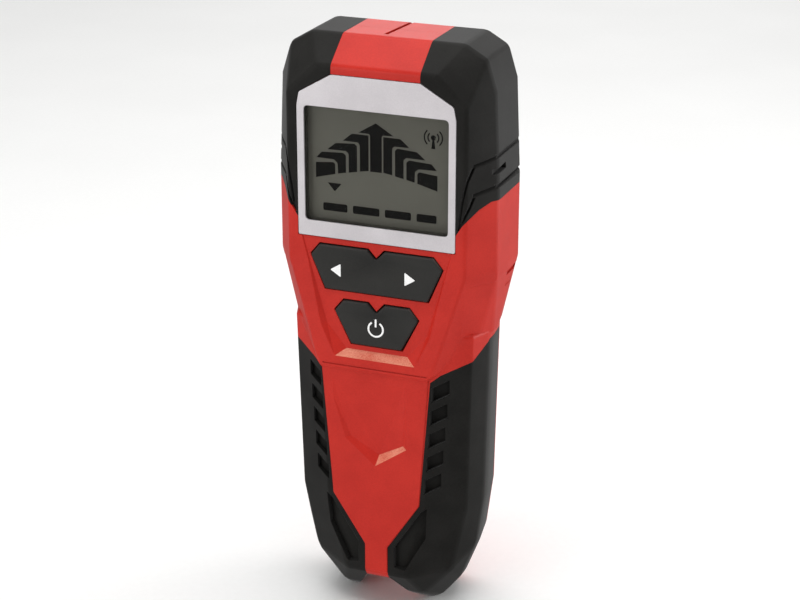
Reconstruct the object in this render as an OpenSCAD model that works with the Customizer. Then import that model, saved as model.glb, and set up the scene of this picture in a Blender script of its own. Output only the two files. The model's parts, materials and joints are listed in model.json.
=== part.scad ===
// Hand-held wall scanner: a two-shell tool with a screen, two keys and a battery door.
// It stands on its base: +Z runs up its length, -Y is the screen side, +Y is the flat sensing back.

/* [Overall] */
// Length from base to top
body_len = 165; // [150:1:210]
// Width across the widest part of the head
head_w = 63; // [58:1:80]
// Width across the grip's upper end
grip_w = 57; // [54:1:72]
// Depth from the grip panel to the back
body_depth = 31; // [30:0.5:40]

/* [Head and waist] */
// Height of the head block, down from the top
head_h = 61; // [58:1:75]
// Height of the waist between the head and the grip
waist_h = 20; // [16:1:26]
// Width of the red strip over the top
strip_w = 25; // [18:1:34]
// Depth of the bevel round the head's front
bevel_d = 8; // [5:0.5:10]

/* [Shells] */
// Wall of the moulded shells
wall = 2; // [1.6:0.1:3]
// Thickness of the rubber on the head and the grip
rubber_t = 2.2; // [1.6:0.1:3]
// How far the grip panel and shield stand in front of the screen frame
panel_proud = 1.5; // [0.8:0.1:2.5]
// Depth of the split between the shells, from the screen frame
split_d = 17; // [15:0.5:20]

/* [Screen] */
// Width of the screen frame
bezel_w = 44.8; // [40:0.2:52]
// Height of the screen frame
bezel_h = 45; // [40:0.2:50]
// Width of the window
window_w = 40.4; // [34:0.2:44]
// Height of the window
window_h = 31.4; // [28:0.2:35]
// Thickness of the screen frame
bezel_t = 2.4; // [2:0.1:3]

/* [Keys] */
// Width of the arrow key
arrow_key_w = 37.8; // [32:0.2:42]
// Width of the power key
power_key_w = 24.2; // [20:0.2:28]
// Gap round each key
key_gap = 0.3; // [0.2:0.05:0.5]
// Travel of the power key
key_travel = 0.8; // [0.4:0.1:1]

/* [Battery] */
// Battery width
battery_w = 26.5; // [25:0.1:30]
// Battery thickness
battery_t = 17.5; // [16.5:0.1:19]
// Battery height without its contacts
battery_h = 46.4; // [45:0.1:50]
// Clearance round the battery
battery_gap = 0.5; // [0.3:0.1:1]
// Thickness of the battery door
door_t = 1.8; // [1.5:0.1:2.5]
// Gap round the battery door
door_gap = 0.3; // [0.2:0.05:0.5]

/* [Boards] */
// Thickness of the circuit boards
board_t = 1.6; // [1:0.1:2]
// Width of the main board
board_w = 39; // [34:0.5:42]
// Width of the sensor board
sensor_w = 46; // [36:0.5:50]

/* [Hidden] */

eps = 0.02;
thin = 0.02;

// Levels in depth. face_y is the front of the screen frame.
back_y = body_depth / 2;
face_y = panel_proud - body_depth / 2;
split_y = face_y + split_d;
wide_y = face_y + bevel_d;
back_bevel = 3;
rear_y = back_y - back_bevel;

// Levels in height
top_z = body_len;
neck_z = top_z - head_h;
grip_z = neck_z - waist_h;
step_z = grip_z - 10.7;
cap_side_z = neck_z + 20;
cap_front_z = neck_z + 12.5;

// Half widths
head_x = head_w / 2;
front_x = head_x - 6.2;
grip_x = grip_w / 2;
waist_x = grip_x + 0.3;
shield_x = 15.9;
neck_x = 3.4;
lobe_x = 11.4;
strip_x = strip_w / 2;

// Screen
bezel_top = top_z - 9.3;
bezel_bot = bezel_top - bezel_h;
window_z = bezel_bot + 4.5 + window_h / 2;
lens_t = 1.2;
lens_y = face_y + 0.5;
glass_y = lens_y + lens_t + 1;
glass_t = 2;
glass_w = window_w + 2.4;
glass_h = window_h + 3;
frame_lip = 1.2;
zebra_z = glass_h / 2 - 2;

// Keys
arrow_top = bezel_bot - 2.1;
arrow_h = 12.6;
arrow_bot = arrow_top - arrow_h;
power_top = arrow_bot - 2.7;
power_h = 12.4;
power_bot = power_top - power_h;
key_y = face_y - 0.3;
notch_x = 2.5;
notch_d = 2.6;
arrow_stem_x = 12.5;
arrow_stem_z = arrow_top - 6.2;
power_stem_z = power_top - 6.4;
stem_r = 1.6;
flange_y = face_y + 2.9;
flange_t = 0.8;
flange_rim = 1.2;
flange_drop = 1.6;

// Sensor board
sensor_y = back_y - wall - 3;
sensor_bot = neck_z - 6;
sensor_top = top_z - 17;
coil_z = (sensor_bot + sensor_top) / 2;

// Battery bay and door
battery_bot = 16;
battery_back = back_y - door_t - 1.2;
battery_front = battery_back - battery_t;
battery_top = battery_bot + battery_h;
battery_y = (battery_back + battery_front) / 2;
bay_x = battery_w / 2 + battery_gap;
bay_wall = 1.5;
bay_play = 0.2;
snap_t = 3;
stud_h = 2;
door_w = battery_w + 5;
door_bot = battery_bot - 3;
door_top = battery_top + snap_t + 5.5;
door_sweep = 0.4;
pad_t = 1;
hinge_w = 20;
hinge_r = 1.5;
hinge_y = back_y - hinge_r - 0.2;
hinge_z = door_bot - 2.8;
pin_r = 0.8;
pin_play = 0.05;
pin_l = 1.6;
bay_top = door_top + bay_wall;
lead_r = 0.7;
lead_x = 4;

// Main board and switches
board_y = face_y + 10;
board_bot = door_top + 3.5;
board_back = board_y + board_t;
board_top = bezel_top - 2;
switch_s = 6;
switch_h = 3.4;
plunger_r = 1.6;
plunger_h = 1;
plunger_sink = 0.9;
stem_play = 0.05;
rocker_axis_y = face_y + 4;
saddle_w = 4.4;
saddle_h = 1.4;
saddle_gap = 0.6;

// Screws
screw_r = 1.25;
screw_play = 0.2;
screw_head_r = 2.5;
head_screw_x = strip_x + 8;
head_screw_z = top_z - 9;
waist_screw_x = grip_x - 8.7;
waist_screw_z = grip_z - 6;
boss_r = 2.9;
boss_front = face_y + 7;

// A right-hand outline and its mirror image as one closed list
function both(p) = concat(p, [for (i = [len(p) - 1:-1:0]) [-p[i][0], p[i][1]]]);

// A flat outline in X and Z, filled from depth y0 for a thickness t
module slab(p, y0, t) {
    translate([0, y0 + t, 0]) rotate([90, 0, 0]) linear_extrude(t) polygon(p);
}

// A box from its lowest corner to its highest
module span(a, b) {
    translate(a) cube(b - a);
}

// A rod along Y from y0 to y1
module rod_y(x, z, r, y0, y1) {
    translate([x, y1, z]) rotate([90, 0, 0]) cylinder(r = r, h = y1 - y0, $fn = 48);
}

// A rod along X from x0 to x1
module rod_x(y, z, r, x0, x1) {
    translate([x0, y, z]) rotate([0, 90, 0]) cylinder(r = r, h = x1 - x0, $fn = 48);
}

// Round wire swept through a list of points, as rings of eight corners
function unit(v) = v / norm(v);
function heading(p, i) = unit(p[min(i + 1, len(p) - 1)] - p[max(i - 1, 0)]);
function ring(p, i, r) =
    let (t = heading(p, i), a = unit(cross(t, [1, 0, 0])), b = cross(t, a))
    [for (k = [0:7]) p[i] + r * (cos(k * 45) * a + sin(k * 45) * b)];

module wire(p, r) {
    last = 8 * (len(p) - 1);
    polyhedron(
        [for (i = [0:len(p) - 1]) each ring(p, i, r)],
        concat(
            [[for (k = [0:7]) k]],
            [for (i = [0:len(p) - 2], k = [0:7])
                [8 * i + k, 8 * i + 8 + k, 8 * i + 8 + (k + 1) % 8, 8 * i + (k + 1) % 8]],
            [[for (k = [7:-1:0]) last + k]]
        )
    );
}

// Outlines of the head, shrunk by d
function head_front(d) = both([
    [strip_x + 4 - d, top_z - 6.7 - d],
    [front_x - d, top_z - 15 - d * 0.6],
    [front_x - d, neck_z]
]);
function head_rim(d) = both([
    [strip_x + 9 - d, top_z - d],
    [head_x - 3.8 - d, top_z - 3.6 - d],
    [head_x - 1.2 - d, top_z - 12],
    [head_x - d, neck_z + 22],
    [head_x - d, neck_z]
]);
function head_back(d) = both([
    [strip_x + 8 - d, top_z - 2.5 - d],
    [head_x - 6 - d, top_z - 6 - d],
    [head_x - 3 - d, neck_z + 30],
    [head_x - 3 - d, neck_z]
]);

module head_form(d) {
    hull() {
        slab(head_front(d), face_y + d, thin);
        slab(head_rim(d), wide_y + 0.8, rear_y - wide_y - 0.8);
        slab(head_back(d), back_y - thin, thin);
    }
}

// The waist narrows from the head to the grip and ends in the shield's point
module waist_form(d) {
    hull() {
        slab(both([[front_x - d, neck_z + eps], [front_x - 2 - d, neck_z - 6]]), face_y + d, thin);
        slab(both([[head_x - d, neck_z + eps], [head_x - 1 - d, neck_z - 4], [waist_x - 2 - d, grip_z]]),
            wide_y + 0.8, thin);
        slab(both([[head_x - d, neck_z + eps], [waist_x - d, neck_z - 12], [waist_x - d, grip_z]]),
            split_y - 3, 3);
        slab(both([
            [head_x - d, neck_z + eps], [waist_x - 1.8 - d, neck_z - 12], [waist_x - 1.8 - d, grip_z]
        ]), rear_y - thin, thin);
        slab(both([
            [head_x - 3 - d, neck_z + eps], [waist_x - 5 - d, neck_z - 12], [waist_x - 5 - d, grip_z]
        ]), back_y - thin, thin);
        slab(both([[shield_x + 1.4, step_z + 4], [shield_x, step_z]]), face_y - panel_proud, thin);
    }
}

function grip_front(d) = both([
    [shield_x + 1 - d, grip_z + 2],
    [shield_x - 1 - d, grip_z * 0.42],
    [9 - d, 12 + d]
]);
function grip_crease(d) = both([
    [grip_x - 2.4 - d, grip_z + 2],
    [grip_x - 3.6 - d, grip_z * 0.42],
    [20.4 - d, 14],
    [12 - d, 4.4 + d]
]);
// Side outline, drawn in by taper towards the back
function grip_side(d, taper) = both([
    [grip_x - taper - d, grip_z + 2],
    [grip_x - 1 - taper - d, grip_z * 0.42],
    [grip_x - 3 - taper - d, 20],
    [grip_x - 7.5 - taper - d, 8.5],
    [15.5 - taper / 2 - d, 1.6 + d],
    [lobe_x + 1 - d, d]
]);
function grip_back(d) = both([
    [grip_x - 5 - d, grip_z + 2],
    [grip_x - 6 - d, grip_z * 0.42],
    [grip_x - 8 - d, 22],
    [16 - d, 8 + d],
    [lobe_x - d, 5 + d]
]);

module grip_form(d) {
    hull() {
        slab(grip_front(d), face_y - 0.6 + d, thin);
        slab(grip_crease(d), face_y + 5.5, thin);
        slab(grip_side(d, 0), face_y + 12, 4);
        slab(grip_side(d, 1.8), rear_y - thin, thin);
        slab(grip_back(d), back_y - thin, thin);
    }
}

// Notch in the base between the two rubber lobes
module base_notch() {
    slab([
        [-lobe_x, -1], [-lobe_x, 0], [-7.4, 4.4], [-neck_x, 10.4],
        [neck_x, 10.4], [7.4, 4.4], [lobe_x, 0], [lobe_x, -1]
    ], face_y - panel_proud - 1, body_depth + 2);
}

// Space taken by the head bumpers: all but the strip, the screen field and the red lower head
module bumper_zone(side) {
    slab([
        [side * strip_x, top_z + 1], [side * (head_x + 2), top_z + 1],
        [side * (head_x + 2), cap_side_z], [side * (head_x - 1.5), cap_side_z],
        [side * (front_x + 2.4), cap_side_z - 1.6], [side * (front_x - 1), cap_front_z + 2],
        [side * (bezel_w / 2), cap_front_z - 1], [side * (bezel_w / 2), bezel_top - 9],
        [side * (bezel_w / 2 - 0.7), bezel_top - 5.4], [side * strip_x, bezel_top]
    ], face_y - 1, body_depth + 2);
}

// Space taken by the grip rubber: from the panel's edge round the side
module grip_zone(side) {
    difference() {
        slab([
            [side * shield_x, step_z - 0.3], [side * (shield_x - 3), grip_z * 0.42],
            [side * neck_x, 20.6], [side * neck_x, -1], [side * (grip_x + 3), -1],
            [side * (grip_x + 3), grip_z + 1.5]
        ], face_y - 3, body_depth + 6);
        // The upper edge climbs towards the back
        translate([0, face_y - 1, step_z + 0.6]) rotate([34, 0, 0])
            translate([-head_w, -20, 0]) cube([2 * head_w, 60, 60]);
        // The door and the flat back stay free of rubber
        span([-grip_x, back_y - rubber_t - 2.4, -2], [grip_x, back_y + 2, grip_z + 20]);
    }
}

// Outer form of the two shells together, less the rubber
module shell_form() {
    difference() {
        union() {
            head_form(0);
            waist_form(0);
        }
        for (s = [-1, 1]) difference() {
            bumper_zone(s);
            head_form(rubber_t);
        }
    }
    grip_core();
}

module grip_core() {
    difference() {
        grip_form(0);
        base_notch();
        for (s = [-1, 1]) difference() {
            grip_zone(s);
            grip_form(rubber_t);
        }
    }
}

// The proud panel on the front of the grip
module grip_panel() {
    slab(both([
        [shield_x - 0.3, step_z + 2], [shield_x - 3, grip_z * 0.42],
        [neck_x, 20.8], [neck_x, 12.6]
    ]), face_y - panel_proud + 0.5, 3);
}

// Hollow inside both shells
module cavity() {
    d = wall + rubber_t;
    // behind the front wall
    slab(both([
        [front_x - 3, top_z - 16], [front_x - 3, neck_z], [front_x - 5, neck_z - 8],
        [shield_x - 3, step_z + 3], [shield_x - 4.5, grip_z * 0.42], [6, 24]
    ]), face_y + bezel_t + wall, 6);
    // room for the battery bay in the grip
    slab(both([
        [waist_x - 5 - d, grip_z + 4], [grip_x - 4 - d, grip_z], [grip_x - 5 - d, grip_z * 0.42],
        [battery_w / 2 + 2.2, battery_bot - 2], [8, battery_bot - 4]
    ]), face_y + 6.2, 4);
    // middle depth
    slab(both([
        [strip_x + 8 - d, top_z - 3 - d], [head_x - 5 - d, top_z - 7 - d], [head_x - d, neck_z + 18],
        [head_x - d, neck_z], [grip_x - d, neck_z - 12], [grip_x - 1 - d, grip_z * 0.42],
        [grip_x - 5.4 - d, 17], [10, 6.2]
    ]), wide_y + 1.5, rear_y - wide_y - 1.5);
    // up to the back wall
    slab(both([
        [strip_x + 6 - d, top_z - 5 - d], [head_x - 7 - d, top_z - 9 - d], [head_x - 3 - d, neck_z + 18],
        [head_x - 3 - d, neck_z], [grip_x - 3 - d, neck_z - 12], [grip_x - 3 - d, grip_z * 0.5],
        [battery_w / 2 + battery_gap, battery_bot - battery_gap]
    ]), rear_y - 1, back_bevel + 1 - wall);
}

module screw_places() {
    for (s = [-1, 1]) {
        translate([s * head_screw_x, 0, head_screw_z]) children();
        translate([s * waist_screw_x, 0, waist_screw_z]) children();
    }
}

// Screen frame outline, grown by g
function bezel_outline(g) = both([
    [strip_x + g * 0.5, bezel_top + g],
    [bezel_w / 2 - 0.7 + g, bezel_top - 5.4 + g * 0.6],
    [bezel_w / 2 + g, bezel_top - 9],
    [bezel_w / 2 + g, bezel_bot - g]
]);

// A rectangle in X and Z about a centre height
function field(w, h, z) = both([[w / 2, z + h / 2], [w / 2, z - h / 2]]);

// Key outlines, grown by g
function key_outline(w, top, bot, slope, g) = both([
    [notch_x + 0.1, top + g],
    [w / 2 - 2.6 + g * 0.4, top + g],
    [w / 2 + g, top - 3.2 + g * 0.4],
    [w / 2 - slope + g, bot - g]
]);

module key_plate(w, top, bot, slope, g, y0, t) {
    difference() {
        slab(key_outline(w, top, bot, slope, g), y0, t);
        translate([0, y0 + t + 1, 0]) rotate([90, 0, 0]) linear_extrude(t + 2) polygon([
            [-notch_x - 0.1, top + g + 1], [-notch_x + g, top + g], [0, top - notch_d + g * 1.4],
            [notch_x - g, top + g], [notch_x + 0.1, top + g + 1]
        ]);
    }
}

module arrow_plate(g, y0, t) {
    key_plate(arrow_key_w, arrow_top, arrow_bot, 4.1, g, y0, t);
}

module power_plate(g, y0, t) {
    key_plate(power_key_w, power_top, power_bot, 4.8, g, y0, t);
}

// Battery door outline, grown by g: a wide cover with a narrow hinge tongue below
function door_outline(g) = both([
    [door_w / 2 + g, door_top + g],
    [door_w / 2 + g, door_bot - g],
    [hinge_w / 2 + g, door_bot - g],
    [hinge_w / 2 + g, hinge_z - (g > 0 ? hinge_r + g : 0)]
]);

module front_housing() {
    color("firebrick") difference() {
        union() {
            difference() {
                union() {
                    intersection() {
                        shell_form();
                        span([-head_w, -body_depth, -1], [head_w, split_y, top_z + 1]);
                    }
                    grip_panel();
                }
                cavity();
                // room behind the keys for their flanges
                slab(key_outline(arrow_key_w, arrow_top, arrow_bot, 4.1, 2.2), face_y + 2.6, 2.5);
                slab(key_outline(power_key_w, power_top, power_bot, 4.8, 2.2), face_y + 2.6, 2.5);
            }
            screw_places() rod_y(0, 0, boss_r, boss_front, split_y);
            // saddles for the arrow key's pivot
            for (z = [arrow_top + saddle_gap, arrow_bot - saddle_gap - saddle_h])
                span([-saddle_w / 2, face_y + 2.5, z], [saddle_w / 2, rocker_axis_y + 1.4, z + saddle_h]);
        }
        screw_places() rod_y(0, 0, screw_r, split_y - 8, split_y + 1);
        slab(bezel_outline(0.15), face_y - 3, bezel_t + 3);
        slab(field(glass_w + frame_lip + 0.4, glass_h + frame_lip + 0.4, window_z),
            face_y, bezel_t + wall + 1);
        arrow_plate(key_gap, face_y - 4, 7);
        power_plate(key_gap, face_y - 4, 7);
        // room for the battery bay, whatever the battery's size
        bay_box(bay_play, split_y + 1);
        translate([0, rocker_axis_y, arrow_bot - saddle_gap - saddle_h - 0.1])
            cylinder(r = pin_r + pin_play, h = arrow_h + 2 * (saddle_gap + saddle_h) + 0.2, $fn = 32);
    }
}

module rear_housing() {
    color("firebrick") difference() {
        union() {
            difference() {
                intersection() {
                    shell_form();
                    span([-head_w, split_y, -1], [head_w, body_depth, top_z + 1]);
                }
                cavity();
            }
            screw_places() rod_y(0, 0, boss_r, split_y, rear_y);
            battery_bay();
            // ears that carry the door's pins
            for (s = [-1, 1]) translate([s * (hinge_w / 2 + door_gap + 1.5), 0, 0])
                slab(field(3, 4.4, hinge_z), hinge_y - 2, 3);
        }
        slab(door_outline(door_gap), back_y - door_t - 0.2, door_t + 2);
        // the door's lower edge dips as it swings
        slab(field(door_w + 2 * door_gap, 2 * (door_gap + door_sweep), door_bot),
            back_y - door_t - 0.2, door_t + 2);
        // the barrel's trough and the bay's way in
        rod_x(hinge_y, hinge_z, hinge_r + door_gap, -hinge_w / 2 - door_gap, hinge_w / 2 + door_gap);
        span([-bay_x, battery_front - battery_gap, battery_bot - battery_gap], [bay_x, back_y, door_top]);
        rod_x(hinge_y, hinge_z, pin_r + pin_play,
            -hinge_w / 2 - pin_l - door_gap, hinge_w / 2 + pin_l + door_gap);
        screw_places() {
            rod_y(0, 0, screw_r + screw_play, split_y - 1, back_y + 1);
            rod_y(0, 0, screw_head_r + screw_play, back_y - wall - 0.6, back_y + 1);
        }
        // ribs down the sides of the waist
        for (z = [step_z + 4:3.2:neck_z - 4], s = [-1, 1])
            span([s * (head_x + 2) - 3.2, split_y + 1, z], [s * (head_x + 2) + 3.2, rear_y - 1, z + 1.4]);
    }
}

// Outside of the battery's tub, grown by g and ending at depth y1
module bay_box(g, y1) {
    reach = bay_x + bay_wall + g;
    drop = battery_gap + bay_wall + g;
    span([-reach, battery_front - drop, battery_bot - drop], [reach, y1, bay_top + g]);
}

// Tub round the battery, closed towards the boards
module battery_bay() {
    difference() {
        bay_box(0, back_y - door_t - 0.2);
        span([-bay_x, battery_front - battery_gap, battery_bot - battery_gap], [bay_x, back_y + 1, door_top]);
        // slot for the leads
        span([-lead_x - 2, battery_y - 2, door_top - 1], [lead_x + 2, battery_y + 2, bay_top + 1]);
    }
}

module head_bumper(side) {
    color("dimgray") difference() {
        intersection() {
            head_form(0);
            bumper_zone(side);
        }
        head_form(rubber_t);
        slab(bezel_outline(0.15), face_y - 3, bezel_t + 3);
        // two level grooves along the side
        for (z = [cap_side_z + 4, cap_side_z + 12])
            translate([side * head_x, 0, z]) cube([2, 2 * body_depth, 1.2], center = true);
    }
}

module grip(side) {
    pocket_h = 4.4;
    pocket_w = 4.3;
    pocket_slant = 2.1;
    pocket_pitch = 7;
    pocket_d = rubber_t - 0.6;
    color("dimgray") difference() {
        intersection() {
            grip_form(0);
            grip_zone(side);
        }
        grip_form(rubber_t);
        waist_form(0);
        grip_panel();
        base_notch();
        // pockets of one depth, so their floors follow the front facet
        difference() {
            union() {
                // louvres
                for (i = [0:4]) translate([
                    side * (shield_x + 0.3 - i * 0.5), 0, step_z - 4.2 - i * pocket_pitch
                ]) slab([
                    [0, -pocket_slant], [side * pocket_w, 0],
                    [side * pocket_w, pocket_h], [0, pocket_h - pocket_slant]
                ], face_y - 3, 9);
                // long pocket beside the lower end of the panel
                slab([
                    [side * 15, step_z - 38.5], [side * 13.2, step_z - 40], [side * 5.4, 21],
                    [side * 5.4, 14.6], [side * 8.6, 14.2], [side * 14.4, 25]
                ], face_y - 3, 9);
            }
            grip_form(pocket_d);
        }
    }
}

module display_bezel() {
    color("silver") difference() {
        slab(bezel_outline(0), face_y, bezel_t);
        slab(field(window_w, window_h, window_z), face_y - 1, bezel_t + 2);
        slab(field(window_w + 2.4, window_h + 2.4, window_z), lens_y, bezel_t);
    }
}

module display_lens() {
    color("lightgray", 0.4) slab(field(window_w + 2.3, window_h + 2.3, window_z), lens_y, lens_t);
}

module lcd_glass() {
    color("darkslategray") slab(field(glass_w, glass_h, window_z), glass_y, glass_t);
}

module lcd_frame() {
    depth = board_y - glass_y;
    color("white") difference() {
        slab(field(glass_w + frame_lip, glass_h + frame_lip, window_z), glass_y + 0.3, depth - 0.3);
        slab(field(glass_w + 0.1, glass_h + 0.1, window_z), glass_y - 1, glass_t + 1.01);
        slab(field(glass_w - 6, glass_h - 8, window_z), glass_y, depth + 1);
        for (s = [-1, 1])
            slab(field(board_w - 3, 2.2, window_z + s * zebra_z), glass_y, depth + 1);
    }
}

module lcd_backlight() {
    color("whitesmoke") slab(field(glass_w - 6.2, glass_h - 8.2, window_z), glass_y + glass_t + 0.1, 2);
}

module zebra_strips() {
    color("gray") for (s = [-1, 1])
        slab(field(board_w - 3.2, 2, window_z + s * zebra_z), glass_y + glass_t, board_y - glass_y - glass_t);
}

module key_stem(x, z, play) {
    rod_y(x, z, stem_r, flange_y, board_y - switch_h - plunger_h - play);
}

module arrow_key() {
    color("darkslategray") union() {
        arrow_plate(0, key_y, flange_y + flange_t - key_y);
        for (s = [-1, 1]) key_stem(s * arrow_stem_x, arrow_stem_z, stem_play);
        // rib and pins of the pivot
        span([-1.4, flange_y, arrow_bot + 0.5], [1.4, rocker_axis_y + pin_r, arrow_top - notch_d - 0.8]);
        translate([0, rocker_axis_y, arrow_bot - saddle_gap - saddle_h + 0.1])
            cylinder(r = pin_r, h = arrow_h + 2 * (saddle_gap + saddle_h) - 0.2, $fn = 32);
    }
}

module power_key() {
    color("darkslategray") union() {
        power_plate(0, key_y, flange_y - key_y + 0.1);
        slab(key_outline(power_key_w, power_top - flange_drop, power_bot, 4.8, flange_rim),
            flange_y, flange_t);
        key_stem(0, power_stem_z, stem_play);
    }
}

module switch_at(x, z) {
    difference() {
        slab([for (p = field(switch_s, switch_s, z)) [p[0] + x, p[1]]], board_y - switch_h, switch_h);
        rod_y(x, z, plunger_r + 0.05, board_y - switch_h - 1, board_y - 0.8);
    }
}

module plunger_at(x, z) {
    color("sienna") rod_y(x, z, plunger_r, board_y - switch_h - plunger_h, board_y - switch_h + plunger_sink);
}

module switch_bodies() {
    color("black") {
        switch_at(-arrow_stem_x, arrow_stem_z);
        switch_at(arrow_stem_x, arrow_stem_z);
        switch_at(0, power_stem_z);
    }
}

module main_board() {
    color("darkgreen") difference() {
        slab(field(board_w, board_top - board_bot, (board_top + board_bot) / 2), board_y, board_t);
        screw_places() rod_y(0, 0, boss_r + 0.4, board_y - 1, board_y + board_t + 1);
        board_screw_places() rod_y(0, 0, 1.1, board_y - 1, board_y + board_t + 1);
    }
}

module board_screw_places() {
    for (s = [-1, 1], z = [board_bot + 9, bezel_bot - 4])
        translate([s * (board_w / 2 - 2.4), 0, z]) children();
}

module board_screws() {
    color("silver") board_screw_places() {
        rod_y(0, 0, 1, board_y - 3, board_back + 0.1);
        rod_y(0, 0, 1.9, board_back, board_back + 1.2);
    }
}

module control_chip() {
    color("black") slab(field(10, 10, window_z - 4), board_back, 1.4);
}

module small_chips() {
    color("black") for (p = [[-12, 6], [12, 6], [-12, -12], [12, -12]])
        translate([p[0], 0, 0]) slab(field(5, 4, window_z + p[1]), board_back, 1.2);
}

module buzzer() {
    color("black") difference() {
        rod_y(0, arrow_stem_z - 10, 6, board_back, board_back + 4.5);
        rod_y(0, arrow_stem_z - 10, 1, board_back + 3, board_back + 5);
    }
}

module sensor_board() {
    color("darkgreen") difference() {
        slab(field(sensor_w, sensor_top - sensor_bot, (sensor_top + sensor_bot) / 2), sensor_y, board_t);
        screw_places() rod_y(0, 0, boss_r + 0.4, sensor_y - 1, sensor_y + board_t + 1);
    }
}

module sensor_plates() {
    color("peru") for (i = [-1:1])
        slab(field(sensor_w - 6, 13, (sensor_top + sensor_bot) / 2 + i * 16), sensor_y + board_t, 0.2);
}

module detector_coil() {
    color("chocolate") difference() {
        rod_y(0, coil_z, 10, sensor_y - 6, sensor_y);
        rod_y(0, coil_z, 5.05, sensor_y - 7, sensor_y + 1);
    }
}

module coil_core() {
    color("dimgray") rod_y(0, coil_z, 5, sensor_y - 7, sensor_y);
}

module board_header() {
    color("black") span([-8, sensor_y - 3, sensor_bot + 4], [8, sensor_y, sensor_bot + 6.6]);
    color("gold") for (i = [-2.5:1:2.5])
        rod_y(i * 2.54, sensor_bot + 5.3, 0.32, board_back, sensor_y - 3);
}

module battery() {
    color("slategray")
        span([-battery_w / 2, battery_front, battery_bot], [battery_w / 2, battery_back, battery_top]);
    color("silver") for (s = [-1, 1])
        translate([s * 6.35, battery_y, battery_top]) cylinder(r = s > 0 ? 2.9 : 3.6, h = stud_h, $fn = 48);
}

module battery_snap() {
    color("black") difference() {
        span([-12.8, battery_y - 6, battery_top + 0.1], [12.8, battery_y + 6, battery_top + snap_t]);
        for (s = [-1, 1])
            translate([s * 6.35, battery_y, battery_top - 1]) cylinder(r = 3.8, h = stud_h + 1.2, $fn = 48);
    }
}

// Both leads leave the snap, pass the bay's slot and end on the main board
module lead(x) {
    wire([
        [x, battery_y, battery_top + snap_t],
        [x, battery_y, bay_top + 1.6],
        [x * 1.5, board_back + 3, board_bot + 4],
        [x * 1.5, board_back, board_bot + 4]
    ], lead_r);
}

module battery_pad() {
    color("black") slab(field(battery_w - 8, battery_h - 14, battery_bot + battery_h / 2),
        back_y - door_t - pad_t, pad_t);
}

module battery_door() {
    color("firebrick") union() {
        slab(door_outline(0), back_y - door_t, door_t);
        rod_x(hinge_y, hinge_z, hinge_r, -hinge_w / 2, hinge_w / 2);
        rod_x(hinge_y, hinge_z, pin_r, -hinge_w / 2 - pin_l, hinge_w / 2 + pin_l);
    }
}

module housing_screws() {
    color("silver") screw_places() {
        rod_y(0, 0, screw_r, split_y - 7.6, back_y - wall);
        rod_y(0, 0, screw_head_r, back_y - wall - 0.6, back_y - wall + 1);
    }
}

front_housing();
rear_housing();
head_bumper(-1);  // head_bumper_left
head_bumper(1);  // head_bumper_right
grip(-1);  // grip_left
grip(1);  // grip_right
display_bezel();
display_lens();
lcd_glass();
lcd_frame();
lcd_backlight();
zebra_strips();
arrow_key();
power_key();
switch_bodies();
plunger_at(-arrow_stem_x, arrow_stem_z);  // left_plunger
plunger_at(arrow_stem_x, arrow_stem_z);  // right_plunger
plunger_at(0, power_stem_z);  // power_plunger
main_board();
control_chip();
small_chips();
buzzer();
sensor_board();
sensor_plates();
detector_coil();
coil_core();
board_header();
battery();
battery_snap();
color("red") lead(lead_x);  // positive_lead
color("black") lead(-lead_x);  // negative_lead
battery_pad();
battery_door();
housing_screws();
board_screws();
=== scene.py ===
import bpy
import bmesh
import json
import math
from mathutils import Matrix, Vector


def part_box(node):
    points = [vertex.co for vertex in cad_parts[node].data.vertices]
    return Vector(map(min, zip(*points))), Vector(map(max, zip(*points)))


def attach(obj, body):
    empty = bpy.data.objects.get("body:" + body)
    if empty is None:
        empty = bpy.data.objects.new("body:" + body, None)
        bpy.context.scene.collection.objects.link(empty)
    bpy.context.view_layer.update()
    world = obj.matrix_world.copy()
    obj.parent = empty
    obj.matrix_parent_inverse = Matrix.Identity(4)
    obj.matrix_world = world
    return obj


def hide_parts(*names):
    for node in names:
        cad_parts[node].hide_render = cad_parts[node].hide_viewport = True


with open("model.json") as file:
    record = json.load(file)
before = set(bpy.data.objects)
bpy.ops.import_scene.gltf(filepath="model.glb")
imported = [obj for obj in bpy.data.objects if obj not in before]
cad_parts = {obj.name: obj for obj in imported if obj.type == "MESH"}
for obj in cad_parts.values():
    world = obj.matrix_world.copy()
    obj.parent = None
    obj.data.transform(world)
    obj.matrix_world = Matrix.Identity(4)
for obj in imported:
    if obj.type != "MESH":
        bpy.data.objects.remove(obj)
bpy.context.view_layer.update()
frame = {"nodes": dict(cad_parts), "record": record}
nodes = frame["nodes"]
print("frame loaded with", len(nodes), "nodes")

mm = 0.001


# mesh helpers, all sizes in millimetres

def boxMm(node):
    low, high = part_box(node)
    return low / mm, high / mm


def both(points):
    # a right-hand outline and its mirror image; a point on the middle line stays single
    return points + [(-x, z) for x, z in reversed(points) if x != 0]


def mirrored(points, side):
    return [(side * x, z) for x, z in points]


def pieceFrom(name, bm, scale=mm):
    bmesh.ops.recalc_face_normals(bm, faces=bm.faces)
    bmesh.ops.scale(bm, vec=(scale, scale, scale), verts=bm.verts)
    mesh = bpy.data.meshes.new(name)
    bm.to_mesh(mesh)
    bm.free()
    obj = bpy.data.objects.new(name, mesh)
    bpy.context.scene.collection.objects.link(obj)
    return obj


def hullOf(name, points):
    bm = bmesh.new()
    verts = [bm.verts.new(p) for p in points]
    made = bmesh.ops.convex_hull(bm, input=verts)
    inside = [v for v in made["geom_interior"] if isinstance(v, bmesh.types.BMVert)]
    bmesh.ops.delete(bm, geom=inside, context="VERTS")
    bmesh.ops.remove_doubles(bm, verts=bm.verts, dist=0.001)
    bmesh.ops.dissolve_limit(bm, angle_limit=0.01, verts=bm.verts, edges=bm.edges)
    return pieceFrom(name, bm)


def at(outline, y):
    return [(x, y, z) for x, z in outline]


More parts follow.
